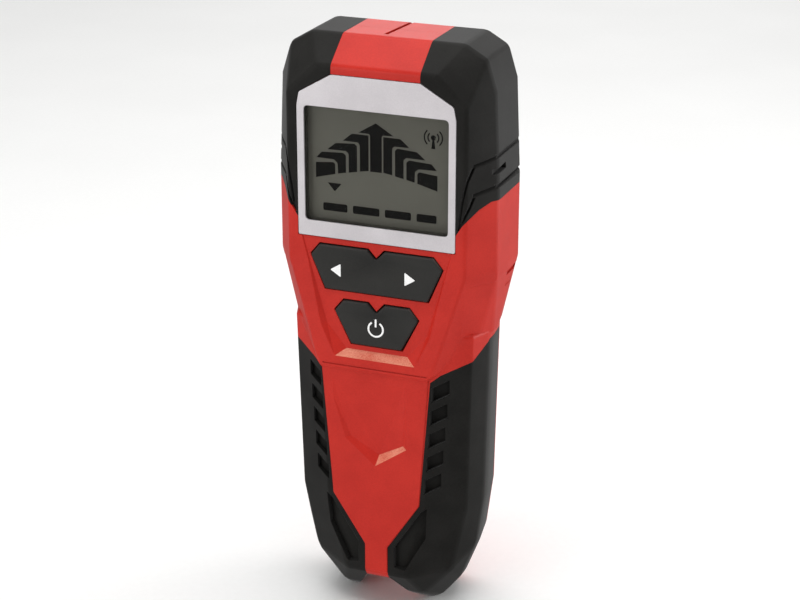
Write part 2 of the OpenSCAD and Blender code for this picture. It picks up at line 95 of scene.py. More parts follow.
def pullFace(bm, points, step):
    # a flat outline pulled along one direction into a solid
    face = bm.faces.new([bm.verts.new(p) for p in points])
    grown = bmesh.ops.extrude_face_region(bm, geom=[face])
    moved = [v for v in grown["geom"] if isinstance(v, bmesh.types.BMVert)]
    bmesh.ops.translate(bm, vec=step, verts=moved)


def prism(name, outline, y0, y1):
    bm = bmesh.new()
    pullFace(bm, at(outline, y0), (0, y1 - y0, 0))
    return pieceFrom(name, bm)


def sidePrism(name, outline, x0, x1):
    # outline in Y and Z, filled along X
    bm = bmesh.new()
    pullFace(bm, [(x0, y, z) for y, z in outline], (x1 - x0, 0, 0))
    return pieceFrom(name, bm)


def roundOutline(outline, radius, steps=5):
    # replaces each corner with a short arc
    rounded = []
    count = len(outline)
    for i in range(count):
        before, here, after = (Vector(outline[(i + k) % count]) for k in (-1, 0, 1))
        reach = min(radius, (before - here).length / 2.2, (after - here).length / 2.2)
        start = here + (before - here).normalized() * reach
        end = here + (after - here).normalized() * reach
        for s in range(steps + 1):
            t = s / steps
            p = start * (1 - t) ** 2 + here * 2 * t * (1 - t) + end * t ** 2
            rounded.append((p.x, p.y))
    return rounded


def copyOf(node, name):
    bm = bmesh.new()
    bm.from_mesh(nodes[node].data)
    bmesh.ops.remove_doubles(bm, verts=bm.verts, dist=0.000002)
    bmesh.ops.dissolve_limit(bm, angle_limit=0.006, verts=bm.verts, edges=bm.edges)
    for face in bm.faces:
        face.smooth = True
    obj = pieceFrom(name, bm, 1.0)
    if "custom_normal" in obj.data.attributes:
        obj.data.attributes.remove(obj.data.attributes["custom_normal"])
    return obj


def bake(obj):
    bpy.context.view_layer.update()
    evaluated = obj.evaluated_get(bpy.context.evaluated_depsgraph_get())
    mesh = bpy.data.meshes.new_from_object(evaluated)
    obj.modifiers.clear()
    old = obj.data
    obj.data = mesh
    bpy.data.meshes.remove(old)
    mesh.name = obj.name
    return obj


def combine(obj, other, kind="DIFFERENCE", keep=False):
    step = obj.modifiers.new("combine", "BOOLEAN")
    step.operation = kind
    step.solver = "MANIFOLD"
    step.object = other
    bake(obj)
    if not keep:
        bpy.data.objects.remove(other)
    return obj


def cleanFaces(obj, angle=0.004):
    bm = bmesh.new()
    bm.from_mesh(obj.data)
    bmesh.ops.remove_doubles(bm, verts=bm.verts, dist=0.00001)
    bmesh.ops.dissolve_degenerate(bm, edges=bm.edges, dist=0.00001)
    bmesh.ops.dissolve_limit(bm, angle_limit=angle, verts=bm.verts, edges=bm.edges)
    bm.to_mesh(obj.data)
    bm.free()
    return obj


def roundEdges(obj, width, segments=3, angle=15.0):
    step = obj.modifiers.new("edges", "BEVEL")
    step.width = width * mm
    step.segments = segments
    step.limit_method = "ANGLE"
    step.angle_limit = math.radians(angle)
    step.use_clamp_overlap = True
    step.miter_outer = "MITER_ARC"
    bake(obj)
    for face in obj.data.polygons:
        face.use_smooth = True
    return obj


def shade(obj, angle=24.0):
    # rounded faces are already smooth; flat cut faces keep sharp edges all round
    mesh = obj.data
    flat = [face.index for face in mesh.polygons if not face.use_smooth]
    mesh.set_sharp_from_angle(angle=math.radians(angle))
    for i in flat:
        for corner in mesh.polygons[i].loop_indices:
            mesh.edges[mesh.loops[corner].edge_index].use_edge_sharp = True
    step = obj.modifiers.new("facetNormals", "WEIGHTED_NORMAL")
    step.keep_sharp = True
    step.weight = 70
    return obj


def linear(hexColour):
    parts = [int(hexColour[i:i + 2], 16) / 255 for i in (1, 3, 5)]
    return tuple(c / 12.92 if c <= 0.04045 else ((c + 0.055) / 1.055) ** 2.4 for c in parts) + (1.0,)


def addNode(tree, kind, settings=None, links=None):
    node = tree.nodes.new(kind)
    for key, value in (settings or {}).items():
        if isinstance(key, str) and hasattr(node, key):
            setattr(node, key, value)
        else:
            node.inputs[key].default_value = value
    for key, source in (links or {}).items():
        tree.links.new(source, node.inputs[key])
    return node


def perMetre(sizeMm):
    return 1.0 / (sizeMm * mm)


def surface(name, light, dark, grainMm, bumpMm, roughness, spread=0.06, edgeMm=0.25, metallic=0.0,
            ior=1.5, coat=0.0, coatRoughness=0.2, sheen=0.0, gloss=0.5, blotchMm=9.0, stretch=(1, 1, 1),
            edgeHighlight=None):
    # grain and blotches in colour, roughness and height, over softened edges; where asked, a painted
    # highlight that lightens convex edges
    made = bpy.data.materials.new(name)
    made.use_nodes = True
    tree = made.node_tree
    shader = tree.nodes["Principled BSDF"]
    place = addNode(tree, "ShaderNodeTexCoord").outputs["Object"]
    place = addNode(tree, "ShaderNodeMapping", {"Scale": stretch}, {"Vector": place}).outputs["Vector"]
    grain = addNode(tree, "ShaderNodeTexNoise", {"Scale": perMetre(grainMm), "Detail": 3.0, "Roughness": 0.6},
                    {"Vector": place}).outputs["Fac"]
    blotch = addNode(tree, "ShaderNodeTexNoise", {"Scale": perMetre(blotchMm), "Detail": 2.0},
                     {"Vector": place}).outputs["Fac"]
    mottle = addNode(tree, "ShaderNodeMath", {"operation": "ADD"}, {0: grain, 1: blotch}).outputs[0]
    share = addNode(tree, "ShaderNodeMapRange", {"From Min": 0.75, "From Max": 1.25},
                    {"Value": mottle}).outputs[0]
    colour = addNode(tree, "ShaderNodeMix", {"data_type": "RGBA", 6: linear(dark), 7: linear(light)},
                     {0: share}).outputs[2]
    # painted highlight: convex edges, found by pointiness, are lightened towards the given colour
    if edgeHighlight:
        edgeHighlightShare = addNode(tree, "ShaderNodeNewGeometry").outputs["Pointiness"]
        edgeHighlightShare = addNode(tree, "ShaderNodeMapRange", {"From Min": 0.52, "From Max": 0.62, "To Max": 0.7},
                       {"Value": edgeHighlightShare}).outputs[0]
        colour = addNode(tree, "ShaderNodeMix", {"data_type": "RGBA", 7: linear(edgeHighlight)},
                         {0: edgeHighlightShare, 6: colour}).outputs[2]
    tree.links.new(colour, shader.inputs["Base Color"])
    rough = addNode(tree, "ShaderNodeMapRange", {"To Min": roughness - spread, "To Max": roughness + spread},
                    {"Value": grain}).outputs[0]
    tree.links.new(rough, shader.inputs["Roughness"])
    height = addNode(tree, "ShaderNodeBump", {"Strength": 1.0, "Distance": bumpMm * mm}, {"Height": grain})
    if edgeMm:
        edge = addNode(tree, "ShaderNodeBevel", {"samples": 4, "Radius": edgeMm * mm}).outputs[0]
        tree.links.new(edge, height.inputs["Normal"])
    tree.links.new(height.outputs[0], shader.inputs["Normal"])
    shader.inputs["Metallic"].default_value = metallic
    shader.inputs["IOR"].default_value = ior
    shader.inputs["Coat Weight"].default_value = coat
    shader.inputs["Coat Roughness"].default_value = coatRoughness
    shader.inputs["Sheen Weight"].default_value = sheen
    shader.inputs["Sheen Roughness"].default_value = 0.35
    shader.inputs["Specular IOR Level"].default_value = gloss
    return made


def paint(obj, made):
    obj.data.materials.clear()
    obj.data.materials.append(made)


# Moulded ABS with a fine spark texture: an even, slightly warm red with a soft broad gloss
absRed = surface("mouldedAbsRed", "#c62b20", "#b9241a", 0.45, 0.018, 0.42, gloss=0.2)
# The same ABS where the mould is coarsely eroded, grainy; its pale colour is a painted highlight for the
# light the upward ramps catch
rampHighlightRed = surface("coarseAbsRedWithPaintedHighlight", "#ea9a80", "#c9553f", 0.35, 0.03, 0.6, gloss=0.2, edgeMm=0.1)
# Over-moulded TPE rubber: near black, matt, and greyer where light grazes it
tpeBlack = surface("mouldedTpeBlack", "#1f1e1c", "#161513", 0.5, 0.025, 0.66, gloss=0.16, sheen=0.16)
# Satin silver paint over ABS: pale grey with a very fine flake
silverPaint = surface("satinSilverPaint", "#d8d3d6", "#cdc8cb", 0.3, 0.004, 0.36, metallic=0.25, coat=0.2)
# Moulded ABS keys with a spark-eroded face: charcoal, satin, with a painted highlight along their edges
keyAbs = surface("sparkErodedKeyAbs", "#232322", "#1b1b1a", 0.4, 0.02, 0.45, gloss=0.2,
                 edgeHighlight="#55534f")
# Pad-printed ink: flat white
inkWhite = surface("padPrintedWhiteInk", "#ffffff", "#f4f4f2", 0.2, 0.002, 0.5, edgeMm=0)
# Liquid crystal cell with its polariser: grey-green, faintly satin
lcdCell = surface("polarisedLcdCell", "#605f57", "#5b5a52", 0.25, 0.001, 0.4, gloss=0.15, edgeMm=0,
                  blotchMm=18)
# Driven liquid crystal: almost black
lcdInk = surface("drivenLcdSegment", "#0c0b09", "#090807", 0.25, 0.001, 0.5, gloss=0.1, edgeMm=0)
# Grey printed border behind the window, close to the cell's own grey
maskGrey = surface("screenPrintedGreyBorder", "#45443e", "#403f3a", 0.3, 0.002, 0.5, gloss=0.15, edgeMm=0)
# White polycarbonate: clean and slightly glossy
whitePc = surface("mouldedWhitePolycarbonate", "#eceae4", "#e2e0da", 0.4, 0.006, 0.4, edgeMm=0.1)
# Conductive silicone strips: grey stripes across their length
zebra = surface("stripedConductiveSilicone", "#6b6b70", "#2d2d30", 0.5, 0.01, 0.6, stretch=(1, 0.05, 0.05),
                edgeMm=0)
# Glass-fibre board under green solder mask: weave shows as a faint texture
fr4 = surface("solderMaskOverGlassFibre", "#1d6b38", "#14522a", 0.8, 0.01, 0.38, coat=0.3, blotchMm=3,
              edgeMm=0.1)
# Moulded epoxy chip packages: dull charcoal
epoxy = surface("mouldedEpoxyPackage", "#2a2a2c", "#1e1e20", 0.25, 0.01, 0.6, edgeMm=0.1)
# Phenolic switch plungers: brown, dull
phenolic = surface("mouldedPhenolicBrown", "#6d432b", "#593622", 0.3, 0.008, 0.5, edgeMm=0.1)
# Bare copper with enamel: warm metal, drawn into fine windings
copper = surface("enamelledCopper", "#c98a55", "#a8683a", 0.35, 0.03, 0.3, metallic=0.9,
                 stretch=(0.2, 1, 0.2), edgeMm=0.1)
# Sintered ferrite: dark grey ceramic
ferrite = surface("sinteredFerrite", "#3c3c40", "#2c2c30", 0.3, 0.02, 0.55, edgeMm=0.15)
# Printed steel battery can: dark grey lacquer with a soft gloss
batteryCan = surface("printedSteelCan", "#4d5258", "#3c4046", 1.2, 0.006, 0.3, metallic=0.4, coat=0.4,
                     edgeMm=0.5)
# Moulded snap cover: black, satin
snapBlack = surface("mouldedSnapCover", "#242424", "#1a1a1a", 0.3, 0.01, 0.5, edgeMm=0.2)
# Extruded PVC insulation in red and black: smooth, slightly glossy
pvcRed = surface("extrudedRedPvc", "#c01f1c", "#a81815", 0.5, 0.004, 0.35, edgeMm=0)
pvcBlack = surface("extrudedBlackPvc", "#222222", "#181818", 0.5, 0.004, 0.35, edgeMm=0)
# Closed-cell foam: open grey-black pores
foamBlack = surface("closedCellFoam", "#35353a", "#1c1c1f", 0.7, 0.12, 0.85, sheen=0.2, edgeMm=0.2)
# Zinc-plated steel screws: bright grey metal, faintly blue
zincSteel = surface("zincPlatedSteel", "#c9ccd0", "#a9adb2", 0.5, 0.01, 0.32, metallic=0.95, edgeMm=0.12)

# Clear acrylic window: the eye sees the cell through it and a faint even reflection on top
acrylic = bpy.data.materials.new("clearAcrylicWindow")
acrylic.use_nodes = True
clear = acrylic.node_tree.nodes["Principled BSDF"]
clear.inputs["Base Color"].default_value = linear("#1c1e1d")
clear.inputs["IOR"].default_value = 1.49
clear.inputs["Alpha"].default_value = 0.03
haze = addNode(acrylic.node_tree, "ShaderNodeTexNoise", {"Scale": perMetre(14), "Detail": 1.0})
hazeRange = addNode(acrylic.node_tree, "ShaderNodeMapRange", {"To Min": 0.08, "To Max": 0.16},
                    {"Value": haze.outputs["Fac"]})
acrylic.node_tree.links.new(hazeRange.outputs[0], clear.inputs["Roughness"])
print("materials made")

# outer forms, shrunk a hair inside the frame's own outside
frontLow, frontHigh = boxMm("front_housing")
rearHigh = boxMm("rear_housing")[1]
bezelLow, bezelHigh = boxMm("display_bezel")
lensLow, lensHigh = boxMm("display_lens")
glassLow, glassHigh = boxMm("lcd_glass")
arrowLow, arrowHigh = boxMm("arrow_key")
powerLow, powerHigh = boxMm("power_key")
gripHigh = boxMm("grip_right")[1]
doorHigh = boxMm("battery_door")[1]
bumperLow = boxMm("head_bumper_right")[0]

body = {
    "hair": 0.03,            # gap between the frame's outside and the detailed skin
    "headH": 61.0,
    "waistH": 20.0,
    "stepH": 10.7,           # from the grip's top to the foot of the key shield
    "bevelW": 6.2,           # the head's front bevel, sideways and in depth
    "bevelDepth": 8.8,
    "backBevel": 3.0,
    "headRound": 0.9,        # radius of the head's edges
    "waistRound": 2.4,
    "gripRound": 1.0,
}
faceY = bezelLow.y
panelY = frontLow.y
backY = rearHigh.y
topZ = frontHigh.z
headX = frontHigh.x
stripX = bumperLow.x
gripX = gripHigh.x
neckZ = topZ - body["headH"]
gripZ = neckZ - body["waistH"]
stepZ = gripZ - body["stepH"]
wideY = faceY + body["bevelDepth"]
rearY = backY - body["backBevel"]
frontX = headX - body["bevelW"]
waistX = gripX + 0.3
shieldX = 15.9
lobeX = 11.4


def headForm(name, d, bottom):
    front = both([(stripX + 4 - d, topZ - 6.7 - d), (frontX - d, topZ - 15 - d * 0.6), (frontX - d, bottom)])
    rim = both([(stripX + 9 - d, topZ - d), (headX - 3.8 - d, topZ - 3.6 - d), (headX - 1.2 - d, topZ - 12),
                (headX - d, neckZ + 22), (headX - d, bottom)])
    back = both([(stripX + 8 - d, topZ - 2.5 - d), (headX - 6 - d, topZ - 6 - d), (headX - 3 - d, neckZ + 30),
                 (headX - 3 - d, bottom)])
    return hullOf(name, at(front, faceY + d) + at(rim, wideY) + at(rim, rearY) + at(back, backY - d))


def waistForm(name, d):
    up = neckZ + 8
    front = both([(frontX - d, up), (frontX - d, neckZ), (frontX - 2 - d, neckZ - 6)])
    crease = both([(headX - d, up), (headX - d, neckZ), (headX - 1 - d, neckZ - 4), (waistX - 2 - d, gripZ)])
    side = both([(headX - d, up), (headX - d, neckZ), (waistX - d, neckZ - 12), (waistX - d, gripZ)])
    rear = both([(headX - d, up), (headX - d, neckZ), (waistX - 1.8 - d, neckZ - 12),
                 (waistX - 1.8 - d, gripZ)])
    back = both([(headX - 3 - d, up), (headX - 3 - d, neckZ), (waistX - 5 - d, neckZ - 12),
                 (waistX - 5 - d, gripZ)])
    shield = both([(shieldX + 1.4, stepZ + 4), (shieldX, stepZ)])
    return hullOf(name, at(front, faceY + d) + at(crease, wideY) + at(side, 0) + at(side, 3)
                  + at(rear, rearY) + at(back, backY - d) + at(shield, panelY + d))


def gripForm(name, d):
    low = gripZ * 0.42
    front = both([(shieldX + 1 - d, gripZ + 2), (shieldX - 1 - d, low), (9 - d, 12 + d)])
    crease = both([(gripX - 2.4 - d, gripZ + 2), (gripX - 3.6 - d, low), (20.4 - d, 14), (12 - d, 4.4 + d)])

    def side(taper):
        edge = gripX - taper - d
        return both([(edge, gripZ + 2), (edge - 1, low), (edge - 3, 20), (edge - 7.5, 8.5),
                     (15.5 - taper / 2 - d, 1.6 + d), (lobeX + 1 - d, d)])
    back = both([(gripX - 5 - d, gripZ + 2), (gripX - 6 - d, low), (gripX - 8 - d, 22), (16 - d, 8 + d),
                 (lobeX - d, 5 + d)])
    return hullOf(name, at(front, faceY - 0.6 + d) + at(crease, faceY + 5.5) + at(side(0), faceY + 12)
                  + at(side(0), faceY + 16) + at(side(1.8), rearY) + at(back, backY - d))


hair = body["hair"]
headSkin = roundEdges(headForm("headSkin", hair, neckZ - 3), body["headRound"], 4)
waistSkin = roundEdges(waistForm("waistSkin", hair), body["waistRound"], 5, 8)
gripSkin = roundEdges(gripForm("gripSkin", hair), body["gripRound"], 4, 10)
print("outer forms made")

shell = {
    "panelEdge": 0.3,
    "tailHalf": 3.4,         # half the width of the strip between the grips
    "deckKnee": 86.0,        # height where the sunk field's sides turn in
    "deckBottom": 79.2,      # where the ramp under the power key starts
    "rampBottom": 77.2,
    "reliefDepth": 1.7,
    "grooveDepth": 1.4,      # line across the top strip
}
panelOutline = both([(shieldX - 0.3 - hair, stepZ + 2), (shieldX - 3 - hair, gripZ * 0.42),
                     (shell["tailHalf"] - hair, 20.8), (shell["tailHalf"] - hair, 12.6)])
panelSkin = prism("panelSkin", panelOutline, panelY + 0.5 + hair, faceY + 4)
roundEdges(panelSkin, shell["panelEdge"], 3)

redSkin = combine(combine(combine(waistSkin, headSkin, "UNION", keep=True), gripSkin, "UNION", keep=True),
                  panelSkin, "UNION")
redSkin.name = "redSkin"


def deckCutter():
    # sinks the field round the keys and leaves a ramp below the power key
    knee = shell["deckKnee"]
    floor = both([(bezelHigh.x - 1.2, bezelLow.z - 0.4), (14.6, knee), (8.9, shell["deckBottom"])])
    rim = both([(bezelHigh.x + 0.4, bezelLow.z + 1.2), (16.4, knee), (11.7, shell["rampBottom"])])
    return hullOf("deckCutter", at(floor, faceY + 0.35) + at(rim, panelY - 0.05) + at(rim, panelY - 3))


def reliefCutter():
    # a sunk corner on the grip panel: narrow wall on the left, broad ramp at the lower right
    y = panelY + 0.5
    depth = shell["reliefDepth"]
    rim = [(-12.9, 71.0), (-12.6, 65.4), (-9.1, 53.0), (-0.1, 45.5), (9.2, 52.0), (8.6, 71.0)]
    floor = [(-7.7, y + depth * 0.55, 53.4), (0.5, y + depth, 48.4), (8.0, y + depth * 0.4, 52.7)]
    return hullOf("reliefCutter", at(rim, y - 0.001) + at(rim, y - 2) + floor)


def topGroove():
    # one slanted line across the top of the strip
    outline = [(-1.9, -3), (-0.8, -3), (1.2, 16), (0.1, 16)]
    bm = bmesh.new()
    pullFace(bm, [(x, y, topZ - shell["grooveDepth"]) for x, y in outline], (0, 0, 3))
    return pieceFrom("topGroove", bm)


frontShell = copyOf("front_housing", "frontShell")
combine(frontShell, redSkin, "INTERSECT", keep=True)
for cutter in (deckCutter(), reliefCutter(), topGroove(),
               prism("shieldLine", both([(shieldX - 0.6, stepZ + 1.7), (shieldX - 0.7, stepZ + 1.35)]),
                     panelY - 1, panelY + 0.3)):
    combine(frontShell, cutter)
cleanFaces(frontShell)


def isRamp(face):
    # the ramp under the power key and the lower right ramp of the sunk corner, both facing up: they get the
    # painted highlight
    n, x, z = face.normal, face.center.x / mm, face.center.z / mm
    underKey = abs(n.x) < 0.1 and n.z > 0.3 and shell["rampBottom"] - 1.2 < z < shell["deckBottom"] + 0.8
    corner = -0.5 < n.x < -0.1 and n.z > 0.3 and 46 < z < 54 and x > -2
    return face.area > 2e-6 and (underKey or corner)


highlightRamps = [face.index for face in frontShell.data.polygons if not face.use_smooth and isRamp(face)]
print("front shell made")

rearShell = copyOf("rear_housing", "rearShell")
combine(rearShell, redSkin, "INTERSECT")
combine(rearShell, topGroove())
print("rear shell made")

bumper = {
    "ledgeDepth": 0.8,
    "ledgeHigh": 0.2,        # rise of a ledge's upper wall
    "ledgeLow": 0.9,         # fall of its lower wall
    "sweepW": 0.7,
    "upperZ": 135.8,
    "lowerZ": 127.9,
    "slotDepth": 1.5,
}


def ledge(name, side, ends, normal):
    # a groove with a steep upper wall and a sloped lower wall that catches the light
    deep, high, low = bumper["ledgeDepth"], bumper["ledgeHigh"], bumper["ledgeLow"]
    nx, ny = normal
    points = []
    for x, y, z in ends:
        inX, inY = side * (x - nx * deep), y - ny * deep
        outX, outY = side * (x + nx * deep), y + ny * deep
        points += [(inX, inY, z), (inX, inY, z + 0.4), (outX, outY, z - 2 * low), (outX, outY, z + 2 * high)]
    return hullOf(name, points)


def ledgeSweep(name, side, outline):
    # where the ledge turns down beside the screen, in X and Z
    w = bumper["sweepW"]
    band = outline + [(x + w, z) for x, z in reversed(outline)]
    return prism(name, mirrored(band, side), faceY - 1, faceY + 3)


def bumperPiece(side, word):
    piece = copyOf("head_bumper_" + word, "headBumper" + word.capitalize())
    combine(piece, headSkin, "INTERSECT", keep=True)
    facet = Vector((body["bevelDepth"], -body["bevelW"])).normalized()
    for name, z in (("upperLedge", bumper["upperZ"]), ("lowerLedge", bumper["lowerZ"])):
        along = [(headX, backY + 1, z - 0.5), (headX, wideY - 0.1, z + 0.2)]
        across = [(headX, wideY + 0.1, z + 0.2), (26.6, -12.2, z - 1.2)]
        combine(piece, ledge(name + "Side", side, along, (1, 0)))
        combine(piece, ledge(name + "Front", side, across, facet))
    core = headForm("sweepCore", bumper["ledgeDepth"], neckZ - 3)
    for outline in ([(26.2, 134.2), (25.0, 130.5), (23.9, 124.5), (22.9, 117.0)],
                    [(26.3, 126.0), (25.3, 122.8), (23.6, 118.5), (23.0, 116.0)]):
        sweep = ledgeSweep("ledgeSweep", side, outline)
        combine(sweep, core, keep=True)
        combine(piece, sweep)
    bpy.data.objects.remove(core)
    # slanted slot between the two ledges
    combine(piece, sidePrism("sideSlot", [(0.4, 132.9), (-9.2, 132.6), (-10.6, 131.2), (0.6, 131.3)],
                             side * (headX - bumper["slotDepth"]), side * (headX + 2)))
    return cleanFaces(piece)


bumperLeft = bumperPiece(-1, "left")
bumperRight = bumperPiece(1, "right")


def gripPiece(word):
    piece = copyOf("grip_" + word, "grip" + word.capitalize())
    combine(piece, gripSkin, "INTERSECT", keep=True)
    return cleanFaces(piece)


gripLeft = gripPiece("left")
gripRight = gripPiece("right")
for spare in (headSkin, gripSkin):
    bpy.data.objects.remove(spare)
print("rubber made")

screen = {
    "windowInset": 0.95,     # the frame's overlap on the lens
    "windowRound": 1.3,
    "bezelEdge": 0.3,
    "maskLip": 0.05,
    "segmentT": 0.05,
}


def field(low, high, grow=0.0):
    return [(low.x - grow, low.z - grow), (high.x + grow, low.z - grow),
            (high.x + grow, high.z + grow), (low.x - grow, high.z + grow)]


windowOutline = roundOutline(field(lensLow, lensHigh, -screen["windowInset"]), screen["windowRound"])
bezelOutline = both([(stripX, bezelHigh.z), (bezelHigh.x - 0.7, bezelHigh.z - 5.4),
                     (bezelHigh.x, bezelHigh.z - 9), (bezelHigh.x, bezelLow.z)])
bezel = prism("displayFrame", roundOutline(bezelOutline, 0.5, 3), faceY, bezelHigh.y)
combine(bezel, prism("windowCut", windowOutline, faceY - 1, bezelHigh.y + 1))
combine(bezel, prism("lensPocket", field(lensLow, lensHigh, 0.05), lensLow.y, bezelHigh.y + 1))
roundEdges(bezel, screen["bezelEdge"], 3, 40)

lens = prism("displayWindow", roundOutline(field(lensLow, lensHigh), 0.8), lensLow.y, lensHigh.y)
roundEdges(lens, 0.15, 2, 40)

mask = prism("windowBorder", field(lensLow, lensHigh, -0.2), lensHigh.y + 0.05, glassLow.y - 0.05)
maskOpening = field(lensLow, lensHigh, -screen["windowInset"] - screen["maskLip"])
combine(mask, prism("maskCut", roundOutline(maskOpening, 1.0), lensHigh.y - 1, glassLow.y + 1))

glass = prism("lcdCell", roundOutline(field(glassLow, glassHigh), 0.4, 3), glassLow.y, glassHigh.y)

lcd = {
    "centreX": -0.9,
    "tipZ": 143.1,
    "headHalf": 4.9,
    "headZ": 140.1,
    "stemHalf": 1.65,
    "footZ": 129.9,
}


# each bar steps outwards and down: an upright leg under an arm with a slanted end
barOutlines = [
    [(2.1, 129.8), (2.1, 139.55), (6.85, 139.55), (9.4, 137.4), (5.2, 137.35), (4.6, 136.7), (4.6, 129.4)],
    [(5.4, 129.2), (5.4, 136.2), (6.1, 136.85), (11.5, 136.5), (13.85, 134.55), (8.6, 134.6), (7.8, 133.9),
     (7.8, 128.7)],
    [(8.6, 128.6), (8.6, 133.3), (9.4, 134.0), (15.6, 133.65), (17.1, 132.0), (12.0, 131.9), (11.0, 131.0),
     (10.9, 128.1)],
    [(11.7, 127.9), (11.7, 130.6), (12.3, 131.1), (17.3, 130.6), (17.3, 126.4)],
]
segmentOutlines = [
    [(lcd["centreX"] + x, z) for x, z in both([
        (0, lcd["tipZ"]), (lcd["headHalf"], lcd["headZ"]), (lcd["stemHalf"] + 0.3, lcd["headZ"] - 0.1),
        (lcd["stemHalf"], lcd["headZ"] - 0.6), (lcd["stemHalf"], lcd["footZ"] - 0.2)])],
]
for outline in barOutlines:
    for side in (1, -1):
        segmentOutlines.append([(lcd["centreX"] + side * x, z) for x, z in outline])
segmentOutlines.append([(-14.8, 125.3), (-10.8, 125.3), (-12.8, 123.0)])
# generic mode marks in place of words
for left, wide in ((-16.2, 7.0), (-7.6, 7.6), (1.6, 7.4), (10.6, 5.6)):
    bar = [(left, 117.4), (left + wide, 117.4), (left + wide, 119.6), (left, 119.6)]
    segmentOutlines.append(roundOutline(bar, 0.5))


def arcBand(cx, cz, radius, width, start, end, steps=16):
    angles = [math.radians(start + (end - start) * i / steps) for i in range(steps + 1)]
    outside, inside = radius + width / 2, radius - width / 2
    outer = [(cx + outside * math.cos(a), cz + outside * math.sin(a)) for a in angles]
    inner = [(cx + inside * math.cos(a), cz + inside * math.sin(a)) for a in angles]
    return outer + inner[::-1]


# transmitter mark
mastX, mastZ = 15.2, 140.9
for radius in (1.5, 2.5):
    segmentOutlines.append(arcBand(mastX, mastZ, radius, 0.35, -48, 48))
    segmentOutlines.append(arcBand(mastX, mastZ, radius, 0.35, 132, 228))
segmentOutlines.append(arcBand(mastX, mastZ, 0.35, 0.68, 0, 345))
segmentOutlines.append([(mastX - 0.2, mastZ - 0.3), (mastX + 0.2, mastZ - 0.3), (mastX + 0.55, mastZ - 3),
                        (mastX - 0.55, mastZ - 3)])


def flatMarks(name, outlines, y0, y1):
    bm = bmesh.new()
    for outline in outlines:
        pullFace(bm, at(outline, y0), (0, y1 - y0, 0))
    return pieceFrom(name, bm)


segments = flatMarks("lcdSegments", segmentOutlines, glassLow.y - screen["segmentT"], glassLow.y)
print("screen made")

key = {
    "edge": 0.5,
    "capT": 2.0,
    "notchX": 2.5,
    "notchD": 2.6,
    "tipGap": 0.08,          # kept between the posts and the plungers
    "markT": 0.04,
    "arrowMarkZ": 101.8,
    "arrowMarkHalf": 1.9,
    "powerMarkZ": 86.2,
}
keysField = field(Vector((-40, 0, 60)), Vector((40, 0, 120)))
arrowTop = bezelLow.z - 2.1
arrowBot = arrowTop - 12.6
powerTop = arrowBot - 2.7
powerBot = powerTop - 12.4


def keyOutline(half, top, bot, slope):
    return both([(0, top - key["notchD"]), (key["notchX"], top), (half - 2.6, top), (half, top - 3.2),
                 (half - slope, bot)])


def keyPiece(node, name, half, top, bot, slope, low):
    cap = prism(name + "Cap", keyOutline(half, top, bot, slope), low.y, low.y + key["capT"])
    roundEdges(cap, key["edge"], 3, 25)
    piece = copyOf(node, name)
    combine(piece, prism("frontBlock", keysField, low.y - 1, low.y + key["capT"] - 0.3))
    combine(piece, cap, "UNION")
    return cleanFaces(piece)


arrowKey = keyPiece("arrow_key", "arrowKey", arrowHigh.x, arrowTop, arrowBot, 4.1, arrowLow)
powerKey = keyPiece("power_key", "powerKey", powerHigh.x - 1.2, powerTop, powerBot, 4.8, powerLow)
# the posts' tips stand a hair off the plungers, so that the tilted key doesn't cut into them
combine(arrowKey, prism("tipCut", keysField, arrowHigh.y - key["tipGap"], arrowHigh.y + 1))
markY = arrowLow.y
z, half = key["arrowMarkZ"], key["arrowMarkHalf"]
arrowMarks = flatMarks("arrowMarks", [
    roundOutline([(-13.1, z), (-10.1, z + half), (-10.1, z - half)], 0.35, 3),
    roundOutline([(11.4, z), (8.35, z + half), (8.35, z - half)], 0.35, 3)],
    markY - key["markT"], markY + 0.02)
z = key["powerMarkZ"]
powerMark = flatMarks("powerMark", [
    arcBand(0, z, 2.12, 0.5, 122, 418, 40),
    roundOutline([(-0.26, z + 0.6), (0.26, z + 0.6), (0.26, z + 2.9), (-0.26, z + 2.9)], 0.15, 3)],
    markY - key["markT"], markY + 0.02)
print("keys made")

door = {"grooves": 5, "groovePitch": 2.2, "grooveHalf": 6.0, "grooveH": 1.0, "grooveD": 0.4, "firstDrop": 6.0}
doorPiece = copyOf("battery_door", "batteryDoor")
for i in range(door["grooves"]):
    low = doorHigh.z - door["firstDrop"] - i * door["groovePitch"]
    high, half = low + door["grooveH"], door["grooveHalf"]
    groove = roundOutline([(-half, low), (half, low), (half, high), (-half, high)], 0.45)
    combine(doorPiece, prism("thumbGroove", groove, backY - door["grooveD"], backY + 1))
cleanFaces(doorPiece)

screw = {"slotHalf": 0.35, "slotReach": 1.5, "slotDepth": 0.8, "waistX": 19.8}
screwPiece = copyOf("housing_screws", "housingScrews")
headY = boxMm("housing_screws")[1].y
screwPlaces = [(stripX + 8, topZ - 9), (screw["waistX"], gripZ - 6)]
for x, z in [(side * x, z) for x, z in screwPlaces for side in (-1, 1)]:
    a, b = screw["slotHalf"], screw["slotReach"]
    cross = [(x + i, z + k) for i, k in ((-a, -b), (a, -b), (a, -a), (b, -a), (b, a), (a, a), (a, b), (-a, b),
                                         (-a, a), (-b, a), (-b, -a), (-a, -a))]
    combine(screwPiece, prism("cross", cross, headY - screw["slotDepth"], headY + 1))
print("door and screws made")

